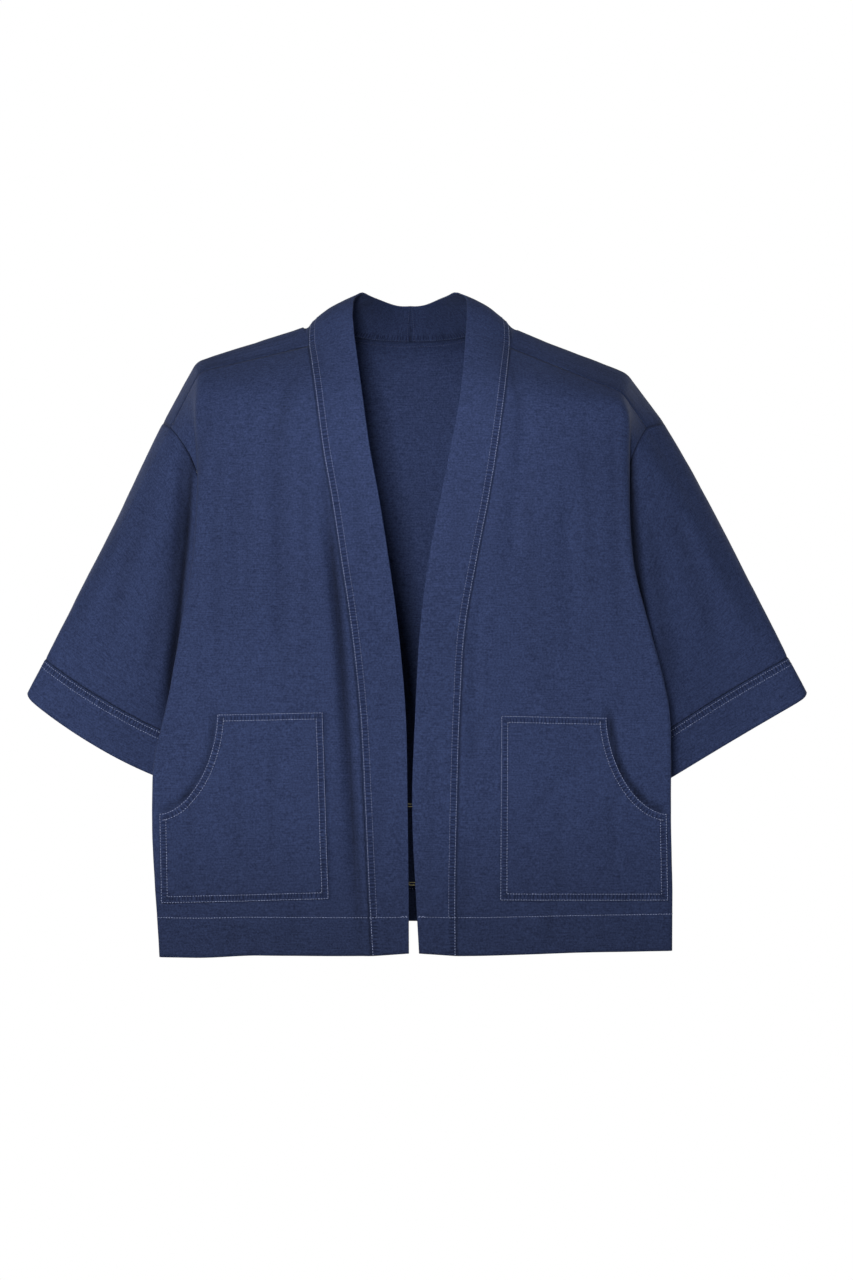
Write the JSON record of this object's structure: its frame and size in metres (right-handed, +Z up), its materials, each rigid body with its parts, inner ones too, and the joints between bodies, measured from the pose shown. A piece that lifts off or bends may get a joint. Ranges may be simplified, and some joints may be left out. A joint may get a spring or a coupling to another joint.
{
  "type": "kimono jacket",
  "caption": "Short open-front kimono jacket in indigo cotton with a wide neckband, dropped elbow-length sleeves with cuffs and two patch pockets with scooped hand openings.",
  "frame": {"origin": "middle of the neck base, level with the top of the back panel at the centre back", "axes": "+X to the viewer's right across both sleeves, +Y from the open front to the back, +Z up"},
  "size_m": [0.895, 0.2507, 0.753],
  "materials": {
    "indigo_cloth": "plain-woven indigo cotton with a fine crepe surface",
    "gunmetal_wire": "dark round wire"
  },
  "bodies": {
    "root": {"front_left": "indigo_cloth", "front_right": "indigo_cloth", "back": "indigo_cloth", "sleeve_left": "indigo_cloth", "sleeve_right": "indigo_cloth", "cuff_left": "indigo_cloth", "cuff_right": "indigo_cloth", "neckband_left": "indigo_cloth", "neckband_right": "indigo_cloth", "pocket_left": "indigo_cloth", "pocket_right": "indigo_cloth", "hook_upper": "gunmetal_wire", "eye_upper": "gunmetal_wire", "hook_lower": "gunmetal_wire", "eye_lower": "gunmetal_wire"}
  },
  "joints": []
}
